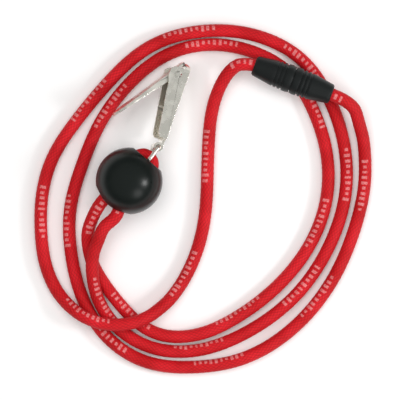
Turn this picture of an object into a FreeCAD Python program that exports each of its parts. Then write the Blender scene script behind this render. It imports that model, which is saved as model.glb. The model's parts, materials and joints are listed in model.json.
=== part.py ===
import FreeCAD, Part
import Sketcher
import math
import os

# Round-cord neck lanyard lying coiled on a table: braided cord, breakaway coupling, ball and bulldog clip.
# Frame: origin at the middle of the coil's footprint on the table, +Z up, +Y along the coil's longer way.
# Lengths are in millimetres, angles in degrees.

Vector = FreeCAD.Vector
os.makedirs("parts", exist_ok=True)
doc = FreeCAD.newDocument("lanyard")

SIZES = {
    # cord
    "cord_diameter": 4.5,
    "split_gap": 0.5,
    "bight_radius": 3.5,
    "bight_reach": 7.6,
    "bow_slack": 0.25,
    "bight_flare_length": 3.4,
    "bight_flare_half_width": 3.1,
    # ball
    "ball_diameter": 23.3,
    "ball_x": -25.7,
    "ball_y": 6.3,
    "ball_heading": 50.0,
    "chamber_radius": 6.3,
    "chamber_back": 5.2,
    "chamber_front": 2.2,
    "rib_length": 1.3,
    "throat_half_width": 5.25,
    "throat_half_height": 3.0,
    "cord_mouth_half_width": 7.8,
    "cord_mouth_half_height": 3.7,
    "cord_throat_length": 1.8,
    "clip_mouth_radius": 6.3,
    "dowel_radius": 0.9,
    "dowel_height": 2.0,
    "dowel_clearance": 0.1,
    "dowel_across": 8.6,
    "dowel_along": 3.0,
    # double crimp in the ball
    "crimp_pitch": 4.9,
    "crimp_bore_radius": 2.32,
    "crimp_half_height": 3.1,
    "crimp_length": 7.0,
    "crimp_start": 5.0,
    # coupling
    "coupling_x": 17.85,
    "coupling_y": 46.55,
    "coupling_z": 9.65,
    "coupling_heading": -20.6,
    "coupling_length": 28.8,
    "coupling_end_radius": 3.5,
    "coupling_middle_radius": 4.9,
    "cord_bore_radius": 2.45,
    "plug_shell_length": 14.2,
    "socket_seam": 14.4,
    "sleeve_radius": 3.85,
    "sleeve_bead": 0.12,
    "sleeve_length": 5.6,
    "ferrule_chamber_radius": 3.2,
    "ferrule_chamber_start": 8.0,
    "socket_bore_radius": 4.15,
    "socket_bore_length": 6.2,
    "finger_slot": 1.0,
    "grip_groove_depth": 0.25,
    "grip_groove_width": 0.7,
    "grip_groove_pitch": 1.5,
    "end_bevel": 0.5,
    "taper_share": 0.55,
    "taper_drop": 0.3,
    "seam_land": 1.2,
    "seam_bevel": 0.25,
    "bead_start": 2.2,
    "bead_crest": 1.4,
    "bead_stop": 0.8,
    "sleeve_lead_in": 0.4,
    "socket_end_wall": 2.6,
    "socket_grip_start": 2.4,
    "ferrule_radius": 3.0,
    "ferrule_length": 5.0,
    "ferrule_clearance": 0.07,
    "ferrule_play": 0.1,
    "ring_start": 1.1,
    "ring_width": 0.8,
    "ring_depth": 0.3,
    "ring_pitch": 2.0,
    "plug_cord_tail": 0.4,
    "socket_cord_gap": 0.6,
    # wire link
    "link_wire_radius": 0.7,
    "link_half_width": 3.9,
    "link_reach": 7.4,
    "link_bow_radius": 2.4,
    "link_bar_radius": 1.0,
    # clip
    "clip_heading": 71.0,
    "clip_slope": 6.0,
    "clip_roll": 78.0,
    "sheet_thickness": 0.8,
    "clip_half_width": 5.0,
    "knuckle_radius": 1.6,
    "knuckle_bore": 0.82,
    "knuckle_half_width": 2.8,
    "jaw_reach": 30.7,
    "pivot_reach": 25.9,
    "pivot_height": 2.2,
    "flange_height": 2.0,
    "flange_peak": 4.6,
    "flange_start": 3.4,
    "ear_start": 22.4,
    "ear_end": 28.3,
    "ear_height": 5.4,
    "jaw_lip_height": 0.6,
    "jaw_shoulder": 1.4,
    "nose_start": 1.6,
    "nose_end": 0.4,
    "nose_rise": 0.5,
    "nose_height": 1.3,
    "ear_bevel": 1.2,
    "ear_ramp": 2.0,
    "flange_ramp": 1.0,
    "flange_drop": 0.8,
    "back_offset": 0.15,
    "leg_notch_reach": 2.6,
    "corner_cut": 3.0,
    "corner_shoulder": 1.1,
    "notch_inset": 1.2,
    "notch_radius": 0.9,
    "notch_reach": 14.0,
    "pin_radius": 0.8,
    "pin_clearance": 0.05,
    "pin_half_length": 5.05,
    "pin_head_radius": 1.25,
    "pin_head_height": 0.45,
    # lever
    "lever_angle": 34.0,
    "lever_length": 26.0,
    "lever_half_width": 3.9,
    "lever_tip_half_width": 5.2,
    "lever_plate_height": 1.4,
    "lever_jaw_reach": 4.6,
    "lever_flange_depth": 1.6,
    "lever_hub_radius": 1.4,
    "lever_neck": 3.0,
    "lever_throat": 2.2,
    "lever_rim": 2.0,
    "lever_narrow_share": 0.3,
    "lever_bend_share": 0.4,
    "lever_wide_share": 0.72,
    "tip_round_start": 4.0,
    "tip_round_middle": 1.6,
    "tip_round_end": 0.4,
    "tip_shoulder": 1.2,
    "tip_quarter": 2.9,
    "tip_crown": 4.8,
    # spring
    "spring_wire_radius": 0.2,
    "spring_coil_radius": 1.08,
    "spring_pitch": 0.45,
    "spring_turns": 7.0,
    "spring_leg_length": 8.0,
    "spring_back_angle": 10.0,
}

sheet = doc.addObject("Spreadsheet::Sheet", "Sizes")
for row, (size_name, size_value) in enumerate(SIZES.items(), start=1):
    sheet.set(f"A{row}", size_name)
    sheet.set(f"B{row}", str(size_value))
    sheet.setAlias(f"B{row}", size_name)
doc.recompute()


def size(name):
    return float(sheet.get(name))


def bind(target, prop, expression):
    """Ties a property to sheet cells; @name stands for one cell."""
    target.setExpression(prop, expression.replace("@", "Sizes."))


# ---------------------------------------------------------------- directions and key points

CORD_RADIUS = size("cord_diameter") / 2
BALL_RADIUS = size("ball_diameter") / 2
BALL_CENTRE = Vector(size("ball_x"), size("ball_y"), BALL_RADIUS)
UP = Vector(0, 0, 1)


def heading_vector(degrees):
    angle = math.radians(degrees)
    return Vector(math.cos(angle), math.sin(angle), 0)


BALL_AXIS = heading_vector(size("ball_heading"))
BALL_LEFT = heading_vector(size("ball_heading") + 90)


def clip_directions():
    """Unit vectors of the clip: along it to the jaw, across its width, and out of its lever side."""
    slope = math.radians(size("clip_slope"))
    roll = math.radians(size("clip_roll"))
    ahead = heading_vector(size("clip_heading"))
    right = heading_vector(size("clip_heading") - 90)
    along = ahead * math.cos(slope) - UP * math.sin(slope)
    lift = ahead * math.sin(slope) + UP * math.cos(slope)
    across = right * math.cos(roll) + lift * math.sin(roll)
    out = lift * math.cos(roll) - right * math.sin(roll)
    return along, across, out


CLIP_ALONG, CLIP_ACROSS, CLIP_OUT = clip_directions()

# The bight: a half circle whose plane is square to the link's bow, so the bow stands in its eye.
BIGHT_RADIUS = size("bight_radius")
BIGHT_SIDE = CLIP_ACROSS.cross(BALL_AXIS).normalize()  # towards the left strand
BIGHT_CENTRE = BALL_CENTRE + BALL_AXIS * size("bight_reach")
BOW_REACH = BIGHT_RADIUS - CORD_RADIUS - size("bow_slack") - size("link_wire_radius")
LINK_ALONG = (BALL_AXIS - CLIP_ACROSS * BALL_AXIS.dot(CLIP_ACROSS)).normalize()
BOW_POINT = BIGHT_CENTRE + LINK_ALONG * BOW_REACH
BAR_POINT = BOW_POINT + LINK_ALONG * size("link_reach")


def placement(origin, x_axis, z_axis):
    """Places a local frame at origin with its X and Z axes along the two directions."""
    y_axis = z_axis.cross(x_axis)
    return FreeCAD.Placement(
        FreeCAD.Matrix(
            x_axis.x, y_axis.x, z_axis.x, origin.x,
            x_axis.y, y_axis.y, z_axis.y, origin.y,
            x_axis.z, y_axis.z, z_axis.z, origin.z,
            0, 0, 0, 1,
        )
    )


COUPLING_AXIS = heading_vector(size("coupling_heading"))
COUPLING_START = Vector(size("coupling_x"), size("coupling_y"), size("coupling_z"))
COUPLING_PLACE = placement(COUPLING_START, COUPLING_AXIS, UP)
BALL_PLACE = placement(BALL_CENTRE, BALL_AXIS, UP)
LINK_PLACE = placement(BAR_POINT, LINK_ALONG * -1, LINK_ALONG.cross(CLIP_ACROSS) * -1)
CLIP_PLACE = placement(BAR_POINT, CLIP_ALONG, CLIP_OUT)
LEVER_TURN = math.radians(size("lever_angle"))
PIVOT_POINT = BAR_POINT + CLIP_ALONG * size("pivot_reach") + CLIP_OUT * size("pivot_height")
LEVER_ALONG = CLIP_OUT * math.sin(LEVER_TURN) - CLIP_ALONG * math.cos(LEVER_TURN)
LEVER_OUT = CLIP_ALONG * math.sin(LEVER_TURN) + CLIP_OUT * math.cos(LEVER_TURN)
LEVER_PLACE = placement(PIVOT_POINT, LEVER_ALONG, LEVER_OUT)
TABLE = CORD_RADIUS + 0.08  # height of a strand's centre line when it lies on the table
OVER = 7.2  # height of a strand that rides over another

# ---------------------------------------------------------------- cord routes

# Free strand from the plug down through the middle of the coil to the place where it meets the coil.
LEAD_ROUTE = [
    (15.4, 47.35, 9.6),
    (12.1, 46.7, 9.1),
    (8.4, 43.4, 7.4),
    (5.4, 38.0, 5.0),
    (3.2, 31.0, 3.1),
    (2.1, 22.0, TABLE),
    (1.6, 11.0, TABLE),
    (0.9, -4.0, TABLE),
    (-2.1, -18.0, TABLE),
    (-6.6, -28.0, 2.6),
    (-12.0, -35.5, 3.9),
    (-15.8, -39.0, 5.1),
]

# Outer-left and outer-top turn, then down the right side and along the bottom to the ball.
PLUG_SIDE_ROUTE = [
    (-20.0, -41.6, 6.4),
    (-25.0, -43.3, OVER),
    (-31.0, -43.9, OVER),
    (-37.5, -42.8, OVER),
    (-43.0, -40.2, 6.2),
    (-47.6, -36.4, 3.9),
    (-50.6, -32.8, 2.6),
    (-53.2, -28.0, TABLE),
    (-55.0, -23.0, TABLE),
    (-56.6, -12.0, TABLE),
    (-56.4, 0.0, TABLE),
    (-52.9, 13.6, TABLE),
    (-44.6, 26.9, TABLE),
    (-33.6, 40.2, TABLE),
    (-18.6, 53.2, TABLE),
    (0.3, 58.7, TABLE),
    (19.3, 56.9, TABLE),
    (34.6, 48.6, TABLE),
    (43.9, 35.4, TABLE),
    (49.2, 19.6, TABLE),
    (49.9, 2.8, TABLE),
    (44.5, -15.6, TABLE),
    (32.2, -33.9, TABLE),
    (14.9, -46.8, TABLE),
    (-4.5, -53.2, TABLE),
    (-18.0, -51.9, TABLE),
    (-28.2, -46.4, TABLE),
    (-33.0, -41.4, 2.4),
    (-36.4, -35.6, 4.2),
    (-38.2, -29.0, 6.7),
    (-38.7, -22.6, 8.7),
    (-37.4, -16.6, 10.2),
    (-34.9, -11.9, 10.9),
    (-32.4, -8.0, 11.5),
]

# From the socket down the outer right, along the outer bottom, round the inner turn and to the ball.
SOCKET_SIDE_ROUTE = [
    (47.4, 35.3, 9.4),
    (50.9, 33.0, 8.6),
    (53.8, 28.9, 6.8),
    (55.5, 23.3, 4.6),
    (56.5, 15.8, 2.9),
    (56.6, 7.0, TABLE),
    (53.4, -9.1, TABLE),
    (45.6, -27.7, TABLE),
    (31.3, -45.3, TABLE),
    (13.3, -56.0, TABLE),
    (-4.5, -58.8, TABLE),
    (-20.0, -56.9, TABLE),
    (-33.4, -48.4, TABLE),
    (-41.8, -35.4, TABLE),
    (-46.0, -19.6, TABLE),
    (-46.2, -2.1, TABLE),
    (-42.2, 12.0, TABLE),
    (-35.6, 27.2, TABLE),
    (-25.5, 40.6, TABLE),
    (-13.4, 50.0, TABLE),
    (0.4, 53.9, TABLE),
    (16.4, 51.8, TABLE),
    (30.2, 43.9, TABLE),
    (38.9, 30.3, TABLE),
    (43.0, 17.2, TABLE),
    (43.6, 3.2, TABLE),
    (39.2, -12.4, TABLE),
    (28.2, -28.2, TABLE),
    (11.4, -41.6, TABLE),
    (-4.5, -47.9, TABLE),
    (-17.8, -46.4, TABLE),
    (-28.0, -38.0, TABLE),
    (-34.6, -29.6, TABLE),
    (-38.9, -21.6, 3.4),
    (-40.3, -14.0, 6.2),
    (-39.0, -6.6, 9.4),
    (-36.8, -2.2, 10.9),
]


# Where the two strands pass through the ball's mouth, as reach along its axis and distance off it.
PLUG_SIDE_MOUTH = [(-12.0, 4.6), (-8.6, 3.5)]
SOCKET_SIDE_MOUTH = [(-12.0, 4.7), (-8.6, 3.5)]

CRIMP_BACK = -size("crimp_start")
CRIMP_FRONT = size("crimp_length") - size("crimp_start")


def ball_point(reach, left):
    return BALL_CENTRE + BALL_AXIS * reach + BALL_LEFT * left


def bight_point(reach, side):
    return BALL_CENTRE + BALL_AXIS * reach + BIGHT_SIDE * side


def bight_route():
    """From the crimp out of the ball, round the link's bow and back into the crimp."""
    strand = size("crimp_pitch") / 2
    flare_reach = CRIMP_FRONT + size("bight_flare_length")
    flare = size("bight_flare_half_width")
    points = [ball_point(CRIMP_FRONT, -strand), bight_point(flare_reach, -flare)]
    for degrees in (-90, -45, 0, 45, 90):
        angle = math.radians(degrees)
        ahead = LINK_ALONG * (BIGHT_RADIUS * math.cos(angle))
        points.append(BIGHT_CENTRE + ahead + BIGHT_SIDE * (BIGHT_RADIUS * math.sin(angle)))
    points += [bight_point(flare_reach, flare), ball_point(CRIMP_FRONT, strand)]
    return points


def coupling_point(reach):
    return COUPLING_START + COUPLING_AXIS * reach


SOCKET_END = size("coupling_length")
SOCKET_CORD_REACH = (
    SOCKET_END - size("ferrule_chamber_start") - size("ferrule_length") + size("socket_cord_gap")
)
SPLIT_GAP = size("split_gap")
LEAD_SPANS = 13
PLUG_SIDE_SPANS = 40
SOCKET_SIDE_SPANS = 44
BIGHT_SPANS = 10
STRAIGHT_ENOUGH = 1e-4


def route_curve(points, start_way=None, end_way=None):
    """A smooth curve through the points, leaving its ends along the given ways."""
    curve = Part.BSplineCurve()
    places = [Vector(*point) for point in points]
    if start_way is None:
        curve.interpolate(places)
    else:
        curve.interpolate(Points=places, InitialTangent=start_way, FinalTangent=end_way)
    return curve


def arc_from_corner(start, corner, end):
    """The arc from start to end that is tangent to both sides of the corner between them."""
    middle = (start + end) * 0.5
    rise = (corner - middle).Length
    half = (end - start).Length / 2
    if rise < STRAIGHT_ENOUGH:
        return Part.LineSegment(start, end).toShape()
    sagitta = half * math.tan(math.atan2(rise, half) / 2)
    crown = middle + (corner - middle).normalize() * sagitta
    return Part.Arc(start, crown, end).toShape()


def arc_pair(start, start_way, end, end_way):
    """Two arcs that join smoothly and leave both ends along their given ways."""
    gap = end - start
    turn = 1 - start_way.dot(end_way)
    if turn < STRAIGHT_ENOUGH ** 2:
        return [Part.LineSegment(start, end).toShape()]
    pull = gap.dot(start_way + end_way)
    reach = (-pull + math.sqrt(pull * pull + 2 * turn * gap.dot(gap))) / (2 * turn)
    first_corner = start + start_way * reach
    second_corner = end - end_way * reach
    middle = (first_corner + second_corner) * 0.5
    return [arc_from_corner(start, first_corner, middle), arc_from_corner(middle, second_corner, end)]


def arc_chain(curve, spans, cut_start=0, cut_end=0):
    """The curve as a chain of tangent arcs, with the two lengths taken off its ends."""
    first = curve.FirstParameter
    last = curve.LastParameter
    if cut_start:
        first = curve.parameterAtDistance(cut_start, curve.FirstParameter)
    if cut_end:
        last = curve.parameterAtDistance(-cut_end, curve.LastParameter)
    step = (last - first) / spans
    edges = []
    for index in range(spans):
        near = first + step * index
        far = near + step
        edges += arc_pair(curve.value(near), curve.tangent(near)[0], curve.value(far), curve.tangent(far)[0])
    return edges


def straight(start, end):
    return [Part.LineSegment(start, end).toShape()]


def lead_curve():
    return route_curve([coupling_point(0)] + LEAD_ROUTE)


def lead_wire():
    """Starts just outside the plug and ends just short of the coil, so both ends can turn."""
    return Part.Wire(arc_chain(lead_curve(), LEAD_SPANS, SPLIT_GAP / 2, SPLIT_GAP / 2))


def coil_wire():
    """Both turns of the coil with the bight between them, from the lead's end to inside the socket."""
    strand = size("crimp_pitch") / 2
    lead = lead_curve()
    lead_way = lead.tangent(lead.LastParameter)[0]
    plug_points = [LEAD_ROUTE[-1]] + PLUG_SIDE_ROUTE
    plug_points += [ball_point(reach, -left) for reach, left in PLUG_SIDE_MOUTH]
    plug_points.append(ball_point(CRIMP_BACK, -strand))
    socket_points = [ball_point(CRIMP_BACK, strand)]
    socket_points += [ball_point(reach, left) for reach, left in reversed(SOCKET_SIDE_MOUTH)]
    socket_points += list(reversed(SOCKET_SIDE_ROUTE))
    socket_points.append(coupling_point(SOCKET_END))
    back = BALL_AXIS * -1
    edges = arc_chain(route_curve(plug_points, lead_way, BALL_AXIS), PLUG_SIDE_SPANS, SPLIT_GAP / 2)
    edges += straight(ball_point(CRIMP_BACK, -strand), ball_point(CRIMP_FRONT, -strand))
    edges += arc_chain(route_curve(bight_route(), BALL_AXIS, back), BIGHT_SPANS)
    edges += straight(ball_point(CRIMP_FRONT, strand), ball_point(CRIMP_BACK, strand))
    edges += arc_chain(route_curve(socket_points, back, COUPLING_AXIS * -1), SOCKET_SIDE_SPANS)
    edges += straight(coupling_point(SOCKET_END), coupling_point(SOCKET_CORD_REACH))
    return Part.Wire(edges)


def cord_piece(name, wire):
    """A round cord swept along one wire."""
    first_edge = wire.OrderedEdges[0]
    start = first_edge.valueAt(first_edge.FirstParameter)
    direction = first_edge.tangentAt(first_edge.FirstParameter)
    section = Part.Circle(start, direction, CORD_RADIUS).toShape()
    piece = doc.addObject("Part::Feature", name)
    piece.Shape = wire.makePipe(Part.Face(Part.Wire([section])))
    piece.Label = name
    return piece


# ---------------------------------------------------------------- sketch and body helpers


def plane(body, role):
    for feature in body.Origin.OriginFeatures:
        if feature.Role == role:
            return feature
    raise ValueError(role)


def outline_sketch(body, name, role, corners):
    """A closed outline on an origin plane; every corner is tied to the sheet by two expressions."""
    sketch = body.newObject("Sketcher::SketchObject", name)
    sketch.AttachmentSupport = (plane(body, role), [""])
    sketch.MapMode = "FlatFace"
    values = [(number(across), number(up)) for across, up in corners]
    count = len(corners)
    for index in range(count):
        start = Vector(*values[index], 0)
        end = Vector(*values[(index + 1) % count], 0)
        sketch.addGeometry(Part.LineSegment(start, end), False)
    for index in range(count):
        sketch.addConstraint(Sketcher.Constraint("Coincident", index, 2, (index + 1) % count, 1))
    for index in range(count):
        for kind, value, expression in zip(("DistanceX", "DistanceY"), values[index], corners[index]):
            constraint = sketch.addConstraint(Sketcher.Constraint(kind, -1, 1, index, 1, value))
            bind(sketch, f"Constraints[{constraint}]", str(expression))
    return sketch


def number(expression):
    """The value of an expression of sheet cells, for a sketch's first layout."""
    text = str(expression)
    for name in sorted(SIZES, key=len, reverse=True):
        text = text.replace("@" + name, repr(size(name)))
    return FreeCAD.Units.Quantity(text).Value


def circle_sketch(body, name, role, across, up, radius):
    sketch = body.newObject("Sketcher::SketchObject", name)
    sketch.AttachmentSupport = (plane(body, role), [""])
    sketch.MapMode = "FlatFace"
    centre = Vector(number(across), number(up), 0)
    sketch.addGeometry(Part.Circle(centre, UP, number(radius)), False)
    rows = (("DistanceX", across), ("DistanceY", up))
    for kind, expression in rows:
        constraint = sketch.addConstraint(Sketcher.Constraint(kind, -1, 1, 0, 3, number(expression)))
        bind(sketch, f"Constraints[{constraint}]", str(expression))
    constraint = sketch.addConstraint(Sketcher.Constraint("Radius", 0, number(radius)))
    bind(sketch, f"Constraints[{constraint}]", str(radius))
    return sketch


def new_body(name):
    body = doc.addObject("PartDesign::Body", name)
    body.Label = name
    return body


def revolve_about_x(body, name, sketch):
    feature = body.newObject("PartDesign::Revolution", name)
    feature.Profile = sketch
    feature.ReferenceAxis = (plane(body, "X_Axis"), [""])
    feature.Angle = 360
    doc.recompute()
    return feature


def groove_about_x(body, name, sketch):
    feature = body.newObject("PartDesign::Groove", name)
    feature.Profile = sketch
    feature.ReferenceAxis = (plane(body, "X_Axis"), [""])
    feature.Angle = 360
    doc.recompute()
    return feature


def pad(body, name, sketch, length, midplane=True):
    feature = body.newObject("PartDesign::Pad", name)
    feature.Profile = sketch
    feature.Midplane = midplane
    bind(feature, "Length", length)
    doc.recompute()
    return feature


def pocket(body, name, sketch, length, midplane=True):
    feature = body.newObject("PartDesign::Pocket", name)
    feature.Profile = sketch
    feature.Midplane = midplane
    bind(feature, "Length", length)
    doc.recompute()
    return feature


# ---------------------------------------------------------------- breakaway coupling


def coupling_plug():
    """Tapered half shell with a hollow sleeve of spring fingers that snaps into the socket."""
    body = new_body("coupling_plug")
    sleeve_end = "@plug_shell_length + @sleeve_length"
    corners = [
        ("0", "@cord_bore_radius"),
        ("0", "@coupling_end_radius - @end_bevel"),
        ("@end_bevel", "@coupling_end_radius"),
        ("@plug_shell_length * @taper_share", "@coupling_middle_radius - @taper_drop"),
        ("@plug_shell_length - @seam_land", "@coupling_middle_radius"),
        ("@plug_shell_length", "@coupling_middle_radius - @seam_bevel"),
        ("@plug_shell_length", "@sleeve_radius"),
        (sleeve_end + " - @bead_start", "@sleeve_radius"),
        (sleeve_end + " - @bead_crest", "@sleeve_radius + @sleeve_bead"),
        (sleeve_end + " - @bead_stop", "@sleeve_radius"),
        (sleeve_end, "@sleeve_radius - @sleeve_lead_in"),
        (sleeve_end, "@ferrule_chamber_radius"),
        ("@ferrule_chamber_start", "@ferrule_chamber_radius"),
        ("@ferrule_chamber_start", "@cord_bore_radius"),
    ]
    revolve_about_x(body, "plug_turned", outline_sketch(body, "plug_profile", "XY_Plane", corners))
    add_grip_grooves(body, "plug", "@plug_shell_length * @taper_share")
    cut_finger_slots(body)
    body.Placement = COUPLING_PLACE
    return body


def coupling_socket():
    """Tapered half shell with the open bore that takes the plug's sleeve."""
    body = new_body("coupling_socket")
    far = "@coupling_length"
    bore_end = "@socket_seam + @socket_bore_length"
    corners = [
        (far, "@cord_bore_radius"),
        (far, "@coupling_end_radius - @end_bevel"),
        (far + " - @end_bevel", "@coupling_end_radius"),
        (far + " - @plug_shell_length * @taper_share", "@coupling_middle_radius - @taper_drop"),
        ("@socket_seam + @seam_land", "@coupling_middle_radius"),
        ("@socket_seam", "@coupling_middle_radius - @seam_bevel"),
        ("@socket_seam", "@socket_bore_radius"),
        (bore_end, "@socket_bore_radius"),
        (bore_end, "@ferrule_chamber_radius"),
        (far + " - @socket_end_wall", "@ferrule_chamber_radius"),
        (far + " - @socket_end_wall", "@cord_bore_radius"),
    ]
    revolve_about_x(body, "socket_turned", outline_sketch(body, "socket_profile", "XY_Plane", corners))
    add_grip_grooves(body, "socket", "@socket_seam + @socket_grip_start")
    body.Placement = COUPLING_PLACE
    return body


GRIP_GROOVES = 3


def add_grip_grooves(body, name, start):
    """Three shallow rings round the shell for the fingers."""
    for index in range(GRIP_GROOVES):
        left = f"{start} + @grip_groove_pitch * {index}"
        right = left + " + @grip_groove_width"
        depth = "@coupling_middle_radius - @taper_drop - @grip_groove_depth"
        top = "@coupling_middle_radius + 1"
        corners = [(left, depth), (left, top), (right, top), (right, depth)]
        sketch = outline_sketch(body, f"{name}_grip_profile_{index}", "XY_Plane", corners)
        groove_about_x(body, f"{name}_grip_{index}", sketch)


def cut_finger_slots(body):
    """Two crossed slots split the sleeve into four fingers."""
    start = "@plug_shell_length + 0.6"
    end = "@plug_shell_length + @sleeve_length + 1"
    half = "@finger_slot / 2"
    corners = [(start, "-" + half), (end, "-" + half), (end, half), (start, half)]
    for role in ("XY_Plane", "XZ_Plane"):
        sketch = outline_sketch(body, "finger_slot_" + role[:2], role, corners)
        pocket(body, "finger_cut_" + role[:2], sketch, "@sleeve_radius * 2 + 2")


FERRULE_RINGS = 2


def ferrule(name, start):
    """Brass sleeve crimped round the cord's end, with two crimp rings pressed into it."""
    body = new_body(name)
    bore = "@cord_diameter / 2 + @ferrule_clearance"
    end = f"{start} + @ferrule_length"
    corners = [
        (start, bore),
        (start, "@ferrule_radius"),
    ]
    for index in range(FERRULE_RINGS):
        ring = f"{start} + @ring_start + @ring_pitch * {index}"
        corners.append((ring, "@ferrule_radius"))
        corners.append((f"{ring} + @ring_width / 2", "@ferrule_radius - @ring_depth"))
        corners.append((f"{ring} + @ring_width", "@ferrule_radius"))
    corners += [(end, "@ferrule_radius"), (end, bore)]
    revolve_about_x(body, name + "_turned", outline_sketch(body, name + "_profile", "XY_Plane", corners))
    body.Placement = COUPLING_PLACE
    return body


def plug_cord_end():
    """The heat-sealed end of the cord inside the plug, from its mouth through the ferrule."""
    cylinder = doc.addObject("Part::Cylinder", "plug_cord_end")
    bind(cylinder, "Radius", "@cord_diameter / 2")
    bind(cylinder, "Height", "@ferrule_chamber_start + @ferrule_length + @plug_cord_tail - @split_gap / 2")
    offset = FreeCAD.Placement(Vector(SPLIT_GAP / 2, 0, 0), FreeCAD.Rotation(Vector(0, 1, 0), 90))
    cylinder.Placement = COUPLING_PLACE.multiply(offset)
    return cylinder


# ---------------------------------------------------------------- ball


def slot_block(name, half_width, half_height, start, end):
    """A flat-sided block with round ends, run along the ball's axis from start to end."""
    body = new_body(name)
    straight = f"({half_width}) - ({half_height})"
    sketch = body.newObject("Sketcher::SketchObject", name + "_profile")
    sketch.AttachmentSupport = (plane(body, "YZ_Plane"), [""])
    sketch.MapMode = "FlatFace"
    reach = number(straight)
    radius = number(half_height)
    sketch.addGeometry(Part.LineSegment(Vector(-reach, radius, 0), Vector(reach, radius, 0)), False)
    sketch.addGeometry(Part.LineSegment(Vector(reach, -radius, 0), Vector(-reach, -radius, 0)), False)
    quarter = math.pi / 2
    right = Part.Circle(Vector(reach, 0, 0), UP, radius)
    left = Part.Circle(Vector(-reach, 0, 0), UP, radius)
    sketch.addGeometry(Part.ArcOfCircle(right, -quarter, quarter), False)
    sketch.addGeometry(Part.ArcOfCircle(left, quarter, 3 * quarter), False)
    for first, first_end, second, second_end in ((0, 2, 2, 2), (2, 1, 1, 1), (1, 2, 3, 2), (3, 1, 0, 1)):
        sketch.addConstraint(Sketcher.Constraint("Tangent", first, first_end, second, second_end))
    sketch.addConstraint(Sketcher.Constraint("Equal", 2, 3))
    sketch.addConstraint(Sketcher.Constraint("PointOnObject", 2, 3, -1))
    sketch.addConstraint(Sketcher.Constraint("Symmetric", 2, 3, 3, 3, -1, 1))
    constraint = sketch.addConstraint(Sketcher.Constraint("DistanceX", -1, 1, 2, 3, reach))
    bind(sketch, f"Constraints[{constraint}]", straight)
    constraint = sketch.addConstraint(Sketcher.Constraint("Radius", 2, radius))
    bind(sketch, f"Constraints[{constraint}]", half_height)
    block = pad(body, name + "_block", sketch, f"({end}) - ({start})", midplane=False)
    shift = number(start) - block.Shape.BoundBox.XMin
    body.Placement = BALL_PLACE.multiply(FreeCAD.Placement(Vector(shift, 0, 0), FreeCAD.Rotation()))
    return body


def axial_cylinder(name, radius, start, length):
    cylinder = doc.addObject("Part::Cylinder", name)
    bind(cylinder, "Radius", radius)
    bind(cylinder, "Height", length)
    offset = FreeCAD.Placement(Vector(number(start), 0, 0), FreeCAD.Rotation(Vector(0, 1, 0), 90))
    cylinder.Placement = BALL_PLACE.multiply(offset)
    return cylinder


def dowel_set(name, radius, height):
    """Four dowels standing on the ball's seam."""
    dowels = []
    for along in (-1, 1):
        for side in (-1, 1):
            dowel = doc.addObject("Part::Cylinder", f"{name}_{len(dowels)}")
            bind(dowel, "Radius", radius)
            bind(dowel, "Height", height)
            spot = Vector(along * size("dowel_along"), side * size("dowel_across"), 0)
            dowel.Placement = BALL_PLACE.multiply(FreeCAD.Placement(spot, FreeCAD.Rotation()))
            dowels.append(dowel)
    return dowels


def join(kind, name, base, tools):
    """A fuse or cut of many tools with one base."""
    if kind == "fuse":
        result = doc.addObject("Part::MultiFuse", name)
        result.Shapes = [base] + tools
        return result
    gathered = tools[0]
    if len(tools) > 1:
        gathered = doc.addObject("Part::MultiFuse", name + "_tools")
        gathered.Shapes = tools
    result = doc.addObject("Part::Cut", name)
    result.Base = base
    result.Tool = gathered
    return result


def ball_shells():
    """Two half shells that close round the crimp, with throats that the crimp can't pass."""
    ball = doc.addObject("Part::Sphere", "ball_solid")
    bind(ball, "Radius", "@ball_diameter / 2")
    ball.Placement = BALL_PLACE
    reach = "@ball_diameter"
    hollows = [
        axial_cylinder(
            "crimp_chamber", "@chamber_radius",
            "-@chamber_back", "@chamber_back + @chamber_front",
        ),
        slot_block(
            "clip_throat", "@throat_half_width", "@throat_half_height",
            "0", "@chamber_front + @rib_length + 1",
        ),
        axial_cylinder("clip_mouth", "@clip_mouth_radius", "@chamber_front + @rib_length", reach),
        slot_block(
            "cord_throat", "@throat_half_width", "@throat_half_height",
            "-@chamber_back - @cord_throat_length - 1", "0",
        ),
        slot_block(
            "cord_mouth", "@cord_mouth_half_width", "@cord_mouth_half_height",
            "-@ball_diameter", "-@chamber_back - @cord_throat_length",
        ),
    ]
    hollow_ball = join("cut", "hollow_ball", ball, hollows)
    halves = []
    for name, base_height in (("upper", 0.0), ("lower", -size("ball_diameter"))):
        block = doc.addObject("Part::Box", name + "_half_space")
        for prop in ("Length", "Width", "Height"):
            bind(block, prop, "@ball_diameter" if prop == "Height" else "@ball_diameter * 2")
        corner = Vector(-size("ball_diameter"), -size("ball_diameter"), base_height)
        block.Placement = BALL_PLACE.multiply(FreeCAD.Placement(corner, FreeCAD.Rotation()))
        half = doc.addObject("Part::Common", f"ball_{name}_half")
        half.Base = hollow_ball
        half.Tool = block
        halves.append(half)
    sockets = dowel_set("dowel_socket", "@dowel_radius + @dowel_clearance", "@dowel_height + 0.3")
    upper = join("cut", "ball_shell_upper", halves[0], sockets)
    lower = join("fuse", "ball_shell_lower", halves[1], dowel_set("dowel", "@dowel_radius", "@dowel_height"))
    for shell in (upper, lower):
        shell.Label = shell.Name
    return [upper, lower]


def ball_crimp():
    """Pressed double sleeve that grips both strands side by side."""
    half_width = "@crimp_pitch / 2 + @crimp_half_height"
    front = "@crimp_length - @crimp_start"
    block = slot_block("crimp_block", half_width, "@crimp_half_height", "-@crimp_start", front)
    bores = []
    for side in (-1, 1):
        bore_name = f"crimp_bore_{len(bores)}"
        bore = axial_cylinder(bore_name, "@crimp_bore_radius", "-@crimp_start - 1", "@crimp_length + 2")
        shift = BALL_LEFT * (side * size("crimp_pitch") / 2)
        bore.Placement = FreeCAD.Placement(shift, FreeCAD.Rotation()).multiply(bore.Placement)
        bores.append(bore)
    crimp = join("cut", "ball_crimp", block, bores)
    crimp.Label = "ball_crimp"
    return crimp


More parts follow.
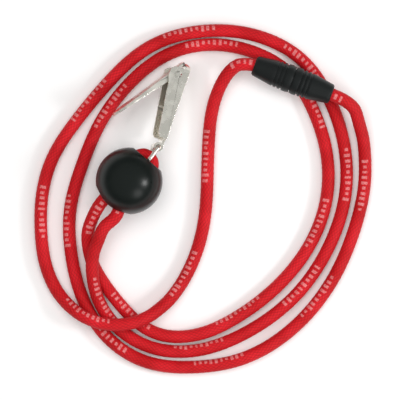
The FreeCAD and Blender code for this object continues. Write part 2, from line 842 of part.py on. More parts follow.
# ---------------------------------------------------------------- wire link and clip


def clip_link():
    """D-shaped ring bent from round wire: straight bar in the clip's knuckle, bow in the cord's bight."""
    body = new_body("clip_link")
    path = body.newObject("Sketcher::SketchObject", "link_path")
    path.AttachmentSupport = (plane(body, "XY_Plane"), [""])
    path.MapMode = "FlatFace"
    reach = size("link_reach")
    half = size("link_half_width")
    bow = size("link_bow_radius")
    bend = size("link_bar_radius")
    quarter = math.pi / 2
    lines = [
        ((0, -half + bend), (0, half - bend)),
        ((bend, half), (reach - bow, half)),
        ((reach, half - bow), (reach, -half + bow)),
        ((reach - bow, -half), (bend, -half)),
    ]
    for start, end in lines:
        path.addGeometry(Part.LineSegment(Vector(*start, 0), Vector(*end, 0)), False)
    corners = [
        (bend, half - bend, bend, 1),
        (reach - bow, half - bow, bow, 0),
        (reach - bow, -half + bow, bow, 3),
        (bend, -half + bend, bend, 2),
    ]
    for across, up, radius, turn in corners:
        circle = Part.Circle(Vector(across, up, 0), UP, radius)
        path.addGeometry(Part.ArcOfCircle(circle, turn * quarter, (turn + 1) * quarter), False)
    sides = len(lines)
    for side in range(sides):
        corner = sides + side
        path.addConstraint(Sketcher.Constraint("Tangent", side, 2, corner, 2))
        path.addConstraint(Sketcher.Constraint("Tangent", corner, 1, (side + 1) % sides, 1))
    rows = [
        ("DistanceX", (0, 1), 0, "0"),
        ("DistanceY", (1, 1), half, "@link_half_width"),
        ("DistanceX", (2, 1), reach, "@link_reach"),
        ("DistanceY", (3, 1), -half, "-@link_half_width"),
    ]
    for kind, (geometry, end), value, expression in rows:
        constraint = path.addConstraint(Sketcher.Constraint(kind, -1, 1, geometry, end, value))
        bind(path, f"Constraints[{constraint}]", expression)
    radius_cells = ("@link_bar_radius", "@link_bow_radius", "@link_bow_radius", "@link_bar_radius")
    for geometry, cell in enumerate(radius_cells, start=sides):
        constraint = path.addConstraint(Sketcher.Constraint("Radius", geometry, number(cell)))
        bind(path, f"Constraints[{constraint}]", cell)
    profile = circle_sketch(body, "link_wire", "XZ_Plane", "0", "0", "@link_wire_radius")
    doc.recompute()
    pipe = body.newObject("PartDesign::AdditivePipe", "link_pipe")
    pipe.Profile = profile
    pipe.Spine = (path, [])
    pipe.Mode = "Frenet"
    doc.recompute()
    body.Placement = LINK_PLACE
    return body


def clip_body():
    """Pressed channel: back, side flanges, pivot ears, rolled knuckle at the tail, turned-up jaw lip."""
    body = new_body("clip_body")
    back = "@back_offset - @knuckle_radius"
    profile = [
        ("0", back),
        ("@jaw_reach - @nose_start", back),
        ("@jaw_reach - @nose_end", back + " + @nose_rise"),
        ("@jaw_reach", back + " + @nose_height"),
        ("@jaw_reach", "@jaw_lip_height"),
        ("@jaw_reach - @sheet_thickness", "@jaw_lip_height"),
        ("@ear_end", "@jaw_shoulder"),
        ("@ear_end", "@ear_height - @ear_bevel"),
        ("@ear_end - @ear_bevel", "@ear_height"),
        ("@ear_start + @ear_ramp", "@ear_height"),
        ("@ear_start", "@flange_peak"),
        ("@flange_start + @flange_ramp", "@flange_height"),
        ("@flange_start", "@flange_height - @flange_drop"),
        ("@flange_start", back + " + @sheet_thickness"),
        ("0", back + " + @sheet_thickness"),
    ]
    outer = outline_sketch(body, "clip_side_profile", "XZ_Plane", profile)
    pad(body, "clip_channel", outer, "@clip_half_width * 2")
    inside = [
        ("@flange_start - 1", back + " + @sheet_thickness"),
        ("@jaw_reach - @sheet_thickness * 3", back + " + @sheet_thickness"),
        ("@jaw_reach - @sheet_thickness", back + " + @nose_height + @nose_end"),
        ("@jaw_reach - @sheet_thickness", "@ear_height + 1"),
        ("@flange_start - 1", "@ear_height + 1"),
    ]
    hollow = outline_sketch(body, "clip_inside_profile", "XZ_Plane", inside)
    pocket(body, "clip_hollow", hollow, "(@clip_half_width - @sheet_thickness) * 2")
    knuckle = circle_sketch(body, "knuckle_round", "XZ_Plane", "0", "0", "@knuckle_radius")
    pad(body, "knuckle_roll", knuckle, "@clip_half_width * 2")
    bore = circle_sketch(body, "knuckle_hole", "XZ_Plane", "0", "0", "@knuckle_bore")
    pocket(body, "knuckle_opening", bore, "@clip_half_width * 2 + 2")
    for side, name in ((1, "left"), (-1, "right")):
        clear_link_leg(body, side, name)
        round_jaw_corner(body, side, name)
        side_notch(body, side, name)
    pin_bore = "@pin_radius + @pin_clearance"
    pivot = circle_sketch(body, "pivot_hole", "XZ_Plane", "@pivot_reach", "@pivot_height", pin_bore)
    pocket(body, "pivot_opening", pivot, "@clip_half_width * 2 + 2")
    body.Placement = CLIP_PLACE
    return body


def clear_link_leg(body, side, name):
    """Cuts the tail away beside the knuckle, where the link's legs pass."""
    near = f"{side} * @knuckle_half_width"
    far = f"{side} * (@clip_half_width + 1)"
    tail = "-@knuckle_radius - 1"
    corners = [(tail, near), ("@leg_notch_reach", near), ("@flange_start", far), (tail, far)]
    sketch = outline_sketch(body, "leg_notch_" + name, "XY_Plane", corners)
    pocket(body, "leg_opening_" + name, sketch, "@ear_height * 4")


def round_jaw_corner(body, side, name):
    """Takes the jaw's corner off in two flats, so the nose looks rounded."""
    edge = f"{side} * (@clip_half_width + 0.5)"
    nose = f"{side} * (@clip_half_width - @corner_cut)"
    shoulder = f"{side} * (@clip_half_width - @corner_shoulder)"
    corners = [
        ("@jaw_reach + 0.5", nose),
        ("@jaw_reach - 0.1", nose),
        ("@jaw_reach - 1", shoulder),
        ("@ear_end + 0.1", f"{side} * @clip_half_width"),
        ("@ear_end + 0.1", edge),
        ("@jaw_reach + 0.5", edge),
    ]
    sketch = outline_sketch(body, "jaw_corner_" + name, "XY_Plane", corners)
    pocket(body, "jaw_cut_" + name, sketch, "@ear_height * 4")


def side_notch(body, side, name):
    """Round relief pressed through the back at the foot of each flange."""
    across = f"{side} * (@clip_half_width - @notch_inset)"
    sketch = circle_sketch(body, "relief_" + name, "XY_Plane", "@notch_reach", across, "@notch_radius")
    pocket(body, "relief_hole_" + name, sketch, "@ear_height * 4")


def clip_lever():
    """Pressed thumb lever: a channel at the pivot that opens into a wide rounded tab."""
    body = new_body("clip_lever")
    top = "@lever_plate_height + @sheet_thickness"
    profile = [
        ("-@lever_jaw_reach", "@lever_plate_height"),
        ("-@lever_jaw_reach", top),
        ("@lever_length", top),
        ("@lever_length", "@lever_plate_height"),
        ("@lever_length - @lever_rim", "@lever_plate_height"),
        ("@lever_length * @lever_bend_share", "@lever_plate_height - @lever_flange_depth / 2"),
        ("@lever_neck", "@lever_plate_height - @lever_flange_depth"),
        ("@lever_hub_radius", "-@lever_hub_radius"),
        ("-@lever_hub_radius", "-@lever_hub_radius"),
        ("-@lever_throat", "@lever_plate_height"),
    ]
    side_view = outline_sketch(body, "lever_side_profile", "XZ_Plane", profile)
    pad(body, "lever_block", side_view, "@lever_tip_half_width * 2")
    for side, name in ((1, "left"), (-1, "right")):
        lever_edge(body, side, name)
    inside = [
        ("-@lever_jaw_reach - 1", "@lever_plate_height"),
        ("@lever_length - 1", "@lever_plate_height"),
        ("@lever_length - 1", "-@lever_hub_radius * 2"),
        ("-@lever_jaw_reach - 1", "-@lever_hub_radius * 2"),
    ]
    hollow = outline_sketch(body, "lever_inside_profile", "XZ_Plane", inside)
    pocket(body, "lever_hollow", hollow, "(@lever_half_width - @sheet_thickness) * 2")
    pivot = circle_sketch(body, "lever_pivot", "XZ_Plane", "0", "0", "@pin_radius + @pin_clearance")
    pocket(body, "lever_pivot_hole", pivot, "@clip_half_width * 2 + 2")
    body.Placement = LEVER_PLACE
    return body


def lever_edge(body, side, name):
    """Trims one side of the lever: narrow at the pivot, wider along the arm, rounded at the tip."""
    narrow = f"{side} * @lever_half_width"
    wide = f"{side} * @lever_tip_half_width"
    outside = f"{side} * (@lever_tip_half_width + 2)"
    corners = [
        ("-@lever_jaw_reach - 1", outside),
        ("-@lever_jaw_reach - 1", f"{side} * (@lever_half_width - 1)"),
        ("-@lever_jaw_reach + 1", narrow),
        ("@lever_length * @lever_narrow_share", narrow),
        ("@lever_length * @lever_wide_share", wide),
        ("@lever_length - @tip_round_start", wide),
        ("@lever_length - @tip_round_middle", f"{side} * (@lever_tip_half_width - @tip_shoulder)"),
        ("@lever_length - @tip_round_end", f"{side} * (@lever_tip_half_width - @tip_quarter)"),
        ("@lever_length + 0.1", f"{side} * (@lever_tip_half_width - @tip_crown)"),
        ("@lever_length + 1", f"{side} * (@lever_tip_half_width - @tip_crown)"),
        ("@lever_length + 1", outside),
    ]
    sketch = outline_sketch(body, "lever_trim_" + name, "XY_Plane", corners)
    pocket(body, "lever_trim_cut_" + name, sketch, "@ear_height * 4")


PIN_PLACE = placement(PIVOT_POINT, CLIP_ACROSS, CLIP_OUT)


def clip_pin():
    """Pivot pin with both heads peened over the ears."""
    body = new_body("clip_pin")
    corners = [
        ("-@pin_half_length - @pin_head_height", "0"),
        ("-@pin_half_length - @pin_head_height", "@pin_head_radius - 0.5"),
        ("-@pin_half_length - 0.1", "@pin_head_radius"),
        ("-@pin_half_length", "@pin_head_radius"),
        ("-@pin_half_length", "@pin_radius"),
        ("@pin_half_length", "@pin_radius"),
        ("@pin_half_length", "@pin_head_radius"),
        ("@pin_half_length + 0.1", "@pin_head_radius"),
        ("@pin_half_length + @pin_head_height", "@pin_head_radius - 0.5"),
        ("@pin_half_length + @pin_head_height", "0"),
    ]
    revolve_about_x(body, "pin_turned", outline_sketch(body, "pin_profile", "XY_Plane", corners))
    body.Placement = PIN_PLACE
    return body


def clip_spring():
    """Torsion spring round the pin: one leg bears on the clip's back, the other under the lever."""
    coil_length = size("spring_pitch") * size("spring_turns")
    half = FreeCAD.Placement(Vector(0, 0, -coil_length / 2), FreeCAD.Rotation())
    place = placement(PIVOT_POINT, CLIP_ALONG, CLIP_ACROSS).multiply(half)
    helix = doc.addObject("Part::Helix", "spring_helix")
    bind(helix, "Pitch", "@spring_pitch")
    bind(helix, "Height", "@spring_pitch * @spring_turns")
    bind(helix, "Radius", "@spring_coil_radius")
    helix.Placement = place
    section = doc.addObject("Part::Circle", "spring_section")
    bind(section, "Radius", "@spring_wire_radius")
    first_point = Vector(size("spring_coil_radius"), 0, 0)
    on_helix = FreeCAD.Placement(first_point, FreeCAD.Rotation(Vector(1, 0, 0), 90))
    section.Placement = place.multiply(on_helix)
    coil = doc.addObject("Part::Sweep", "spring_coil")
    coil.Sections = [section]
    coil.Spine = (helix, ["Edge1"])
    coil.Solid = True
    coil.Frenet = True
    legs = []
    straight_back = 180.0
    for name, height, side, way in (
        ("back", 0.0, -1, straight_back - size("spring_back_angle")),
        ("lever", coil_length, 1, straight_back - size("lever_angle")),
    ):
        leg = doc.addObject("Part::Cylinder", f"spring_{name}_leg")
        bind(leg, "Radius", "@spring_wire_radius")
        bind(leg, "Height", "@spring_leg_length")
        start = heading_vector(side * (way - 90)) * size("spring_coil_radius")
        along = heading_vector(side * way)
        leg.Placement = place.multiply(
            FreeCAD.Placement(start + Vector(0, 0, height), FreeCAD.Rotation(UP, along))
        )
        legs.append(leg)
    spring = join("fuse", "clip_spring", coil, legs)
    spring.Label = "clip_spring"
    return spring


# ---------------------------------------------------------------- build and write


def build_all():
    pieces = []
    pieces.append(cord_piece("coil_cord", coil_wire()))
    pieces.append(cord_piece("lead_cord", lead_wire()))
    pieces.append(plug_cord_end())
    pieces.append(coupling_plug())
    pieces.append(coupling_socket())
    pieces.append(ferrule("plug_ferrule", "@ferrule_chamber_start + @ferrule_play"))
    socket_ferrule_start = "@coupling_length - @socket_end_wall - @ferrule_play - @ferrule_length"
    pieces.append(ferrule("socket_ferrule", socket_ferrule_start))
    pieces += ball_shells()
    pieces.append(ball_crimp())
    pieces.append(clip_link())
    pieces.append(clip_body())
    pieces.append(clip_lever())
    pieces.append(clip_pin())
    pieces.append(clip_spring())
    return pieces


def check_and_write(pieces):
    doc.recompute()
    for item in doc.Objects:
        if "Invalid" in item.State or "Error" in item.State:
            raise RuntimeError(f"{item.Name} failed: {item.State}")
    for piece in pieces:
        if piece.Shape.isNull() or not piece.Shape.isValid():
            raise RuntimeError(f"{piece.Label} has a bad shape")
        piece.Shape.exportStep(f"parts/{piece.Label}.step")
        box = piece.Shape.BoundBox
        print(
            f"{piece.Label}: {len(piece.Shape.Solids)} solid, {piece.Shape.Volume:.1f} mm3, "
            f"x {box.XMin:.2f}..{box.XMax:.2f}, y {box.YMin:.2f}..{box.YMax:.2f}, "
            f"z {box.ZMin:.2f}..{box.ZMax:.2f}"
        )


check_and_write(build_all())
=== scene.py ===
import heapq
import json
import math

import bpy
import numpy as np
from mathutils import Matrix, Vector


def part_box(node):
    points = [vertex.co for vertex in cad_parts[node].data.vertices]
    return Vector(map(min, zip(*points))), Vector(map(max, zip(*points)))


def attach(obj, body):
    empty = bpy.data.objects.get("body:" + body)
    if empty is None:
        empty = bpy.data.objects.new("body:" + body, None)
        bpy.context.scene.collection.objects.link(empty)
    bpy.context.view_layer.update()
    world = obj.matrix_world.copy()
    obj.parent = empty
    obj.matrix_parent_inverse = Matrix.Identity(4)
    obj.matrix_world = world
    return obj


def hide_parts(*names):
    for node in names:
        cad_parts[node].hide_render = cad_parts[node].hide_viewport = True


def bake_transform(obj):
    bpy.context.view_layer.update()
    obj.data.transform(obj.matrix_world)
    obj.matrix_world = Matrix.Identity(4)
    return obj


# Round-cord neck lanyard: braided red cord, black ball, black breakaway coupling, nickel bulldog clip.
# Lengths are in metres unless a name says otherwise.

MM = 0.001
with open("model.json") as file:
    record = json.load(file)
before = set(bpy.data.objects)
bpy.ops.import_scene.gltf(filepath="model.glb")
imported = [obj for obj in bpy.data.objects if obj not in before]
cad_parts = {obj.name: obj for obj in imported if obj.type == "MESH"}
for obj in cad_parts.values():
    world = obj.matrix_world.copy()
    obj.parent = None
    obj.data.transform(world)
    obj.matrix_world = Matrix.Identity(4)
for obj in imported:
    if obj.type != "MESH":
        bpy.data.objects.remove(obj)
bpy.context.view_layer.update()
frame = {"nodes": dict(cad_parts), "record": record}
NODES = frame["nodes"]
JOINTS = {joint["name"]: joint for joint in frame["record"]["behaviour"]["joints"]}

CORD_RADIUS = 2.25 * MM


# ---------------------------------------------------------------- cord centre line


def welded(node):
    """Unique points and triangles of a CAD node, with the seams between its faces closed."""
    mesh = node.data
    count = len(mesh.vertices)
    points = np.empty(count * 3)
    mesh.vertices.foreach_get("co", points)
    points = points.reshape(-1, 3)
    mesh.calc_loop_triangles()
    triangles = np.empty(len(mesh.loop_triangles) * 3, dtype=np.int64)
    mesh.loop_triangles.foreach_get("vertices", triangles)
    triangles = triangles.reshape(-1, 3)
    keys, first, inverse = np.unique(
        np.round(points / 1e-7).astype(np.int64), axis=0, return_index=True, return_inverse=True
    )
    return points[first], inverse.reshape(-1)[triangles]


def axis_points(points, triangles):
    """Each surface point moved inwards by the cord's radius, which puts it on the centre line."""
    a, b, c = (points[triangles[:, k]] for k in range(3))
    face_normals = np.cross(b - a, c - a)
    normals = np.zeros_like(points)
    for k in range(3):
        np.add.at(normals, triangles[:, k], face_normals)
    normals /= np.linalg.norm(normals, axis=1)[:, None]
    return points - normals * CORD_RADIUS


def distances_along(centres, triangles, start):
    """Length of the way along the centre line from the start point to every point."""
    neighbours = [[] for _ in range(len(centres))]
    edges = np.vstack([triangles[:, [0, 1]], triangles[:, [1, 2]], triangles[:, [2, 0]]])
    edges = np.unique(np.sort(edges, axis=1), axis=0)
    lengths = np.linalg.norm(centres[edges[:, 0]] - centres[edges[:, 1]], axis=1)
    for (i, j), length in zip(edges.tolist(), lengths.tolist()):
        neighbours[i].append((j, length))
        neighbours[j].append((i, length))
    best = np.full(len(centres), np.inf)
    best[start] = 0.0
    queue = [(0.0, start)]
    while queue:
        distance, i = heapq.heappop(queue)
        if distance > best[i]:
            continue
        for j, length in neighbours[i]:
            reach = distance + length
            if reach < best[j]:
                best[j] = reach
                heapq.heappush(queue, (reach, j))
    return best


def centre_line(node_name, start_point, bin_length=1.6 * MM, end_margin=3.0 * MM):
    """Points along the middle of a round cord, from the end nearest start_point."""
    points, triangles = welded(NODES[node_name])
    centres = axis_points(points, triangles)
    start = int(np.argmin(np.linalg.norm(points - np.array(start_point), axis=1)))
    along = distances_along(centres, triangles, start)
    bins = np.floor(along / bin_length).astype(int)
    last = along.max() - end_margin
    line = []
    for index in range(bins.max() + 1):
        chosen = (bins == index) & (along > end_margin) & (along < last)
        if chosen.sum() >= 6:
            line.append(centres[chosen].mean(axis=0))
    return np.array(line)


def spline_samples(line, spacing):
    """Natural cubic spline through the points, sampled at an even spacing."""
    gaps = np.linalg.norm(np.diff(line, axis=0), axis=1)
    knots = np.concatenate([[0.0], np.cumsum(gaps)])
    count = len(line)
    system = np.zeros((count, count))
    right = np.zeros((count, 3))
    system[0, 0] = system[-1, -1] = 1.0
    slopes = np.diff(line, axis=0) / gaps[:, None]
    for i in range(1, count - 1):
        system[i, i - 1] = gaps[i - 1]
        system[i, i] = 2 * (gaps[i - 1] + gaps[i])
        system[i, i + 1] = gaps[i]
        right[i] = 6 * (slopes[i] - slopes[i - 1])
    bends = np.linalg.solve(system, right)
    steps = int(round(knots[-1] / spacing))
    where = np.linspace(0, knots[-1], steps + 1)
    cell = np.clip(np.searchsorted(knots, where, side="right") - 1, 0, count - 2)
    gap = gaps[cell][:, None]
    after = (where - knots[cell])[:, None]
    before = gap - after
    return (
        bends[cell] * before**3 / (6 * gap)
        + bends[cell + 1] * after**3 / (6 * gap)
        + (line[cell] / gap - bends[cell] * gap / 6) * before
        + (line[cell + 1] / gap - bends[cell + 1] * gap / 6) * after
    )


RING_SPACING = 0.25 * MM
SIDES = 48
QUAD = 4
CORD_DEPTHS_IN_PLUG = (9 * MM, 5 * MM, 2.5 * MM)
PLUG_MOUTH = np.array(JOINTS["plug_wrist"]["pos_m"])
SPLIT_POINT = np.array(JOINTS["coupling_release"]["pos_m"])


def box_centre(name):
    low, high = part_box(name)
    return (np.array(low) + np.array(high)) / 2


def whole_cord():
    """Centre line of the whole cord, from the plug by the split and the coil to the socket."""
    lead = centre_line("lead_cord", PLUG_MOUTH)
    coil = centre_line("coil_cord", SPLIT_POINT)
    plug_inside = box_centre("plug_ferrule")
    inwards = (plug_inside - PLUG_MOUTH) / np.linalg.norm(plug_inside - PLUG_MOUTH)
    hidden = [plug_inside]
    hidden += [PLUG_MOUTH + inwards * depth for depth in CORD_DEPTHS_IN_PLUG]
    hidden += [PLUG_MOUTH]
    line = np.vstack([hidden, lead, coil, [box_centre("socket_ferrule")]])
    first = len(hidden)
    smooth = line.copy()
    smooth[first:-2] = 0.25 * line[first - 1 : -3] + 0.5 * line[first:-2] + 0.25 * line[first + 1 : -1]
    return spline_samples(smooth, RING_SPACING)


CORD = whole_cord()


def cord_index(point):
    return int(np.argmin(np.linalg.norm(CORD - np.array(point), axis=1)))


# ---------------------------------------------------------------- braided surface

BRAID_STRANDS = 12
BRAID_PITCH = 1.9 * MM
BRAID_RELIEF = 0.13 * MM
PRINT_REPEAT = 43 * MM
PRINT_LENGTH = 19 * MM
TICK_PITCH = 1.9 * MM
TICK_LENGTH = 0.95 * MM
TICK_REACH = 16
TICK_REACH_STEP = 5
TICK_REACHES = 4
# Slow turning of the tick marks round the cord: degrees, length of a wave over 2 pi, phase
PRINT_DRIFT = ((34, 57 * MM, 0.0), (18, 23 * MM, 1.0))


def cord_frames():
    """Tangents, sideways and upward cross directions along the cord."""
    tangents = np.gradient(CORD, axis=0)
    tangents /= np.linalg.norm(tangents, axis=1)[:, None]
    up = np.array([0.0, 0.0, 1.0])
    side = np.cross(tangents, up)
    side /= np.linalg.norm(side, axis=1)[:, None]
    top = np.cross(side, tangents)
    return tangents, side, top


TANGENTS, SIDE, TOP = cord_frames()


def braid_height(along, turn):
    """Relief from 0 to 1 of two families of strands that pass over and under each other."""
    left = turn * BRAID_STRANDS + along / BRAID_PITCH
    right = turn * BRAID_STRANDS - along / BRAID_PITCH
    over = (np.floor(left) + np.floor(right)) % 2 == 0
    across = np.where(over, left - np.floor(left), right - np.floor(right))
    lengthwise = np.where(over, right - np.floor(right), left - np.floor(left))
    crown = np.sqrt(np.clip(1 - (2 * across - 1) ** 2, 0, 1))
    dip = 1 - 0.35 * (2 * lengthwise - 1) ** 2
    return crown * dip


def print_mask(along, degrees):
    """Generic pale tick marks, in groups along one side of the cord."""
    place = np.mod(along, PRINT_REPEAT)
    number = np.floor(place / TICK_PITCH)
    within = np.mod(place, TICK_PITCH)
    group = np.floor(along / PRINT_REPEAT)
    reach = TICK_REACH + TICK_REACH_STEP * np.mod(number * 7 + group * 3, TICK_REACHES)
    shown = (place < PRINT_LENGTH) & (within < TICK_LENGTH) & (np.abs(degrees) < reach)
    return shown.astype(float)


def cord_piece(name, first, last):
    """Braided tube, open at both ends, between two stations of the centre line."""
    stations = np.arange(first, last + 1)
    along = (stations * RING_SPACING)[:, None]
    turn = (np.arange(SIDES) / SIDES)[None, :]
    angle = turn * 2 * math.pi
    radius = CORD_RADIUS - BRAID_RELIEF + BRAID_RELIEF * braid_height(along, turn)
    points = (
        CORD[stations][:, None, :]
        + (np.cos(angle) * radius)[..., None] * TOP[stations][:, None, :]
        + (np.sin(angle) * radius)[..., None] * SIDE[stations][:, None, :]
    ).reshape(-1, 3)
    rows = len(stations)
    i = np.arange(rows - 1)[:, None] * SIDES
    j = np.arange(SIDES)[None, :]
    k = (j + 1) % SIDES
    faces = np.stack([i + j, i + k, i + SIDES + k, i + SIDES + j], axis=-1).reshape(-1, QUAD)
    mesh = bpy.data.meshes.new(name)
    mesh.vertices.add(len(points))
    mesh.vertices.foreach_set("co", points.astype(np.float32).ravel())
    mesh.loops.add(faces.size)
    mesh.loops.foreach_set("vertex_index", faces.ravel().astype(np.int32))
    mesh.polygons.add(len(faces))
    mesh.polygons.foreach_set("loop_start", np.arange(0, faces.size, QUAD).astype(np.int32))
    mesh.polygons.foreach_set("use_smooth", [True] * len(faces))
    mesh.update(calc_edges=True)
    mesh.validate()
    drift = sum(size * np.sin(along / wave + phase) for size, wave, phase in PRINT_DRIFT)
    degrees = np.mod(turn * 360 - drift + 180, 360) - 180
    marks = print_mask(along + 0 * turn, degrees).ravel()
    # The braid height is stored as well, and the cord material paints shade between the strands from
    # it.
    height = (braid_height(along, turn) + 0 * along).ravel()
    for attribute_name, values in (("print", marks), ("weave", height)):
        attribute = mesh.attributes.new(attribute_name, "FLOAT", "POINT")
        attribute.data.foreach_set("value", values.astype(np.float32))
    piece = bpy.data.objects.new(name, mesh)
    bpy.context.scene.collection.objects.link(piece)
    piece.data.materials.append(CORD_MATERIAL)
    return piece


# ---------------------------------------------------------------- materials


def new_material(name):
    material = bpy.data.materials.new(name)
    material.use_nodes = True
    tree = material.node_tree
    return material, tree, tree.nodes["Principled BSDF"]


def add_node(tree, kind, **settings):
    node = tree.nodes.new(kind)
    for key, value in settings.items():
        if key in node.inputs:
            node.inputs[key].default_value = value
        else:
            setattr(node, key, value)
    return node


def object_coordinates(tree):
    return tree.nodes.new("ShaderNodeTexCoord").outputs["Object"]


def add_bump(tree, shader, height, strength, distance):
    bump = add_node(tree, "ShaderNodeBump", Strength=strength, Distance=distance)
    tree.links.new(height, bump.inputs["Height"])
    tree.links.new(bump.outputs["Normal"], shader.inputs["Normal"])


def cord_material():
    """Glossy red polyester: painted shade between strands, fine yarn noise, pale printed ticks."""
    material, tree, shader = new_material("red_cord")
    weave = add_node(tree, "ShaderNodeAttribute", attribute_name="weave")
    marks = add_node(tree, "ShaderNodeAttribute", attribute_name="print")
    noise = add_node(tree, "ShaderNodeTexNoise", Scale=2600.0, Detail=3.0)
    tree.links.new(object_coordinates(tree), noise.inputs["Vector"])
    blotch = add_node(tree, "ShaderNodeTexNoise", Scale=90.0, Detail=2.0)
    tree.links.new(object_coordinates(tree), blotch.inputs["Vector"])
    # Painted shade between the strands: the red is darkened to 0.38 where the stored braid height is
    # low.
    shade = add_node(tree, "ShaderNodeMapRange")
    shade.inputs["To Min"].default_value = 0.38
    shade.inputs["To Max"].default_value = 1.0
    tree.links.new(weave.outputs["Fac"], shade.inputs["Value"])
    ramp = add_node(tree, "ShaderNodeValToRGB")
    ramp.color_ramp.elements[0].position = 0.3
    ramp.color_ramp.elements[0].color = (0.56, 0.008, 0.012, 1)
    ramp.color_ramp.elements[1].position = 0.7
    ramp.color_ramp.elements[1].color = (0.78, 0.016, 0.026, 1)
    tree.links.new(blotch.outputs["Fac"], ramp.inputs["Fac"])
    painted_groove_shade = add_node(tree, "ShaderNodeMix", data_type="RGBA", blend_type="MULTIPLY")
    painted_groove_shade.inputs["Factor"].default_value = 1.0
    tree.links.new(ramp.outputs["Color"], painted_groove_shade.inputs["A"])
    tree.links.new(shade.outputs["Result"], painted_groove_shade.inputs["B"])
    wear = add_node(tree, "ShaderNodeMath", operation="MULTIPLY")
    wear_range = add_node(tree, "ShaderNodeMapRange")
    wear_range.inputs["From Min"].default_value = 0.35
    wear_range.inputs["From Max"].default_value = 0.6
    wear_range.inputs["To Min"].default_value = 0.14
    wear_range.inputs["To Max"].default_value = 0.48
    tree.links.new(noise.outputs["Fac"], wear_range.inputs["Value"])
    tree.links.new(marks.outputs["Fac"], wear.inputs[0])
    tree.links.new(wear_range.outputs["Result"], wear.inputs[1])
    printed = add_node(tree, "ShaderNodeMix", data_type="RGBA")
    printed.inputs["B"].default_value = (0.93, 0.5, 0.5, 1)
    tree.links.new(wear.outputs["Value"], printed.inputs["Factor"])
    tree.links.new(painted_groove_shade.outputs["Result"], printed.inputs["A"])
    tree.links.new(printed.outputs["Result"], shader.inputs["Base Color"])
    shader.inputs["Roughness"].default_value = 0.6
    shader.inputs["Specular IOR Level"].default_value = 0.22
    shader.inputs["Sheen Weight"].default_value = 0.06
    shader.inputs["Sheen Roughness"].default_value = 0.4
    shader.inputs["Sheen Tint"].default_value = (1.0, 0.3, 0.3, 1)
    add_bump(tree, shader, noise.outputs["Fac"], 0.35, 0.00006)
    return material


def plastic_material(name, color, roughness, grain_scale, grain_strength, specular):
    """Black moulded plastic with grain and slightly uneven gloss."""
    material, tree, shader = new_material(name)
    shader.inputs["Base Color"].default_value = (*color, 1)
    shader.inputs["Specular IOR Level"].default_value = specular
    grain = add_node(tree, "ShaderNodeTexNoise", Scale=grain_scale, Detail=4.0)
    tree.links.new(object_coordinates(tree), grain.inputs["Vector"])
    patch = add_node(tree, "ShaderNodeTexNoise", Scale=140.0, Detail=3.0)
    tree.links.new(object_coordinates(tree), patch.inputs["Vector"])
    gloss = add_node(tree, "ShaderNodeMapRange")
    gloss.inputs["To Min"].default_value = roughness * 0.8
    gloss.inputs["To Max"].default_value = roughness * 1.25
    tree.links.new(patch.outputs["Fac"], gloss.inputs["Value"])
    tree.links.new(gloss.outputs["Result"], shader.inputs["Roughness"])
    add_bump(tree, shader, grain.outputs["Fac"], grain_strength, 0.00004)
    return material


# Reach of the painted shade in the metals' crevices.
CREVICE_REACH = 0.8 * MM


def metal_material(name, color, roughness, scratch_scale, scratch_strength):
    """Plated or drawn metal with fine directional scratches, dull patches and painted shade in
    crevices.
    """
    material, tree, shader = new_material(name)
    shader.inputs["Metallic"].default_value = 1.0
    mapping = add_node(tree, "ShaderNodeMapping")
    mapping.inputs["Scale"].default_value = (1.0, 0.12, 1.0)
    tree.links.new(object_coordinates(tree), mapping.inputs["Vector"])
    scratches = add_node(tree, "ShaderNodeTexNoise", Scale=scratch_scale, Detail=5.0)
    tree.links.new(mapping.outputs["Vector"], scratches.inputs["Vector"])
    patch = add_node(tree, "ShaderNodeTexNoise", Scale=260.0, Detail=3.0)
    tree.links.new(object_coordinates(tree), patch.inputs["Vector"])
    gloss = add_node(tree, "ShaderNodeMapRange")
    gloss.inputs["From Min"].default_value = 0.3
    gloss.inputs["From Max"].default_value = 0.7
    gloss.inputs["To Min"].default_value = roughness * 0.7
    gloss.inputs["To Max"].default_value = roughness * 1.5
    tree.links.new(patch.outputs["Fac"], gloss.inputs["Value"])
    tree.links.new(gloss.outputs["Result"], shader.inputs["Roughness"])
    tint = add_node(tree, "ShaderNodeValToRGB")
    tint.color_ramp.elements[0].color = (*[c * 0.94 for c in color], 1)
    tint.color_ramp.elements[1].color = (*color, 1)
    tree.links.new(patch.outputs["Fac"], tint.inputs["Fac"])
    # Painted shade: the base colour is darkened down to 0.4 where ambient occlusion finds other
    # surfaces close by, in crevices and inner corners.
    crevice = add_node(tree, "ShaderNodeAmbientOcclusion", samples=8)
    crevice.inputs["Distance"].default_value = CREVICE_REACH
    painted_crevice_shade = add_node(tree, "ShaderNodeMapRange")
    painted_crevice_shade.inputs["From Min"].default_value = 0.1
    painted_crevice_shade.inputs["From Max"].default_value = 0.6
    painted_crevice_shade.inputs["To Min"].default_value = 0.4
    tree.links.new(crevice.outputs["AO"], painted_crevice_shade.inputs["Value"])
    crevice_shaded_tint = add_node(tree, "ShaderNodeMix", data_type="RGBA", blend_type="MULTIPLY")
    crevice_shaded_tint.inputs["Factor"].default_value = 1.0
    tree.links.new(tint.outputs["Color"], crevice_shaded_tint.inputs["A"])
    tree.links.new(painted_crevice_shade.outputs["Result"], crevice_shaded_tint.inputs["B"])
    tree.links.new(crevice_shaded_tint.outputs["Result"], shader.inputs["Base Color"])
    add_bump(tree, shader, scratches.outputs["Fac"], scratch_strength, 0.00002)
    return material


